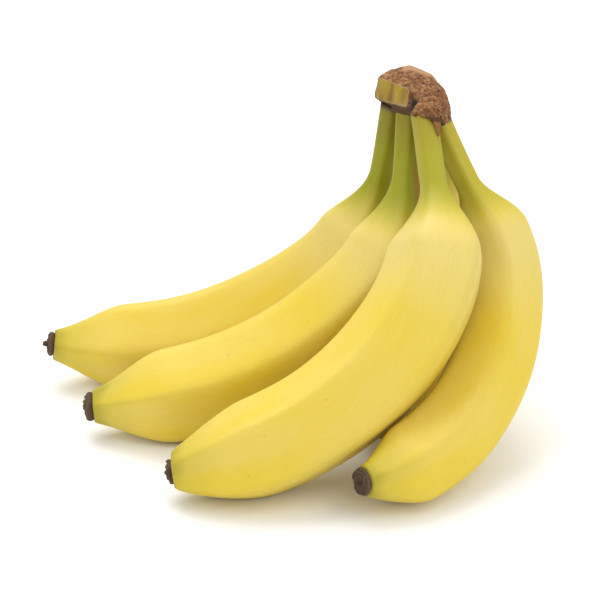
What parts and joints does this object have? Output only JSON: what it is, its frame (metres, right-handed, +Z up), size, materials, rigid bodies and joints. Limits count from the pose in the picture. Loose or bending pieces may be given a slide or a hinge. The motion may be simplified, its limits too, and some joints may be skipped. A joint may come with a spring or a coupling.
{
  "type": "bunch of bananas",
  "caption": "Bunch of ripe yellow bananas joined at a brown cut crown, resting on the bellies of its curved fingers with the crown raised.",
  "frame": {"origin": "on the surface that the bunch rests on, under the middle of its box", "axes": "+Z up; -X the way the finger tips point; +X towards the crown and the shoulders; -Y the side that the front finger bulges to"},
  "size_m": [0.2094, 0.1524, 0.1384],
  "materials": {
    "peel": "satin waxy yellow peel, green at the necks and faintly green at the tips",
    "crown": "dry corky brown with dark fibres, olive yellow on the cut facet",
    "dried_tip": "matt, dry, dark brown to black"
  },
  "bodies": {
    "root": {"crown": "crown", "banana_1": "peel", "banana_2": "peel", "banana_3": "peel", "banana_4": "peel", "banana_5": "peel", "blossom_tip_1": "dried_tip", "blossom_tip_2": "dried_tip", "blossom_tip_3": "dried_tip", "blossom_tip_4": "dried_tip", "blossom_tip_5": "dried_tip"}
  },
  "joints": []
}
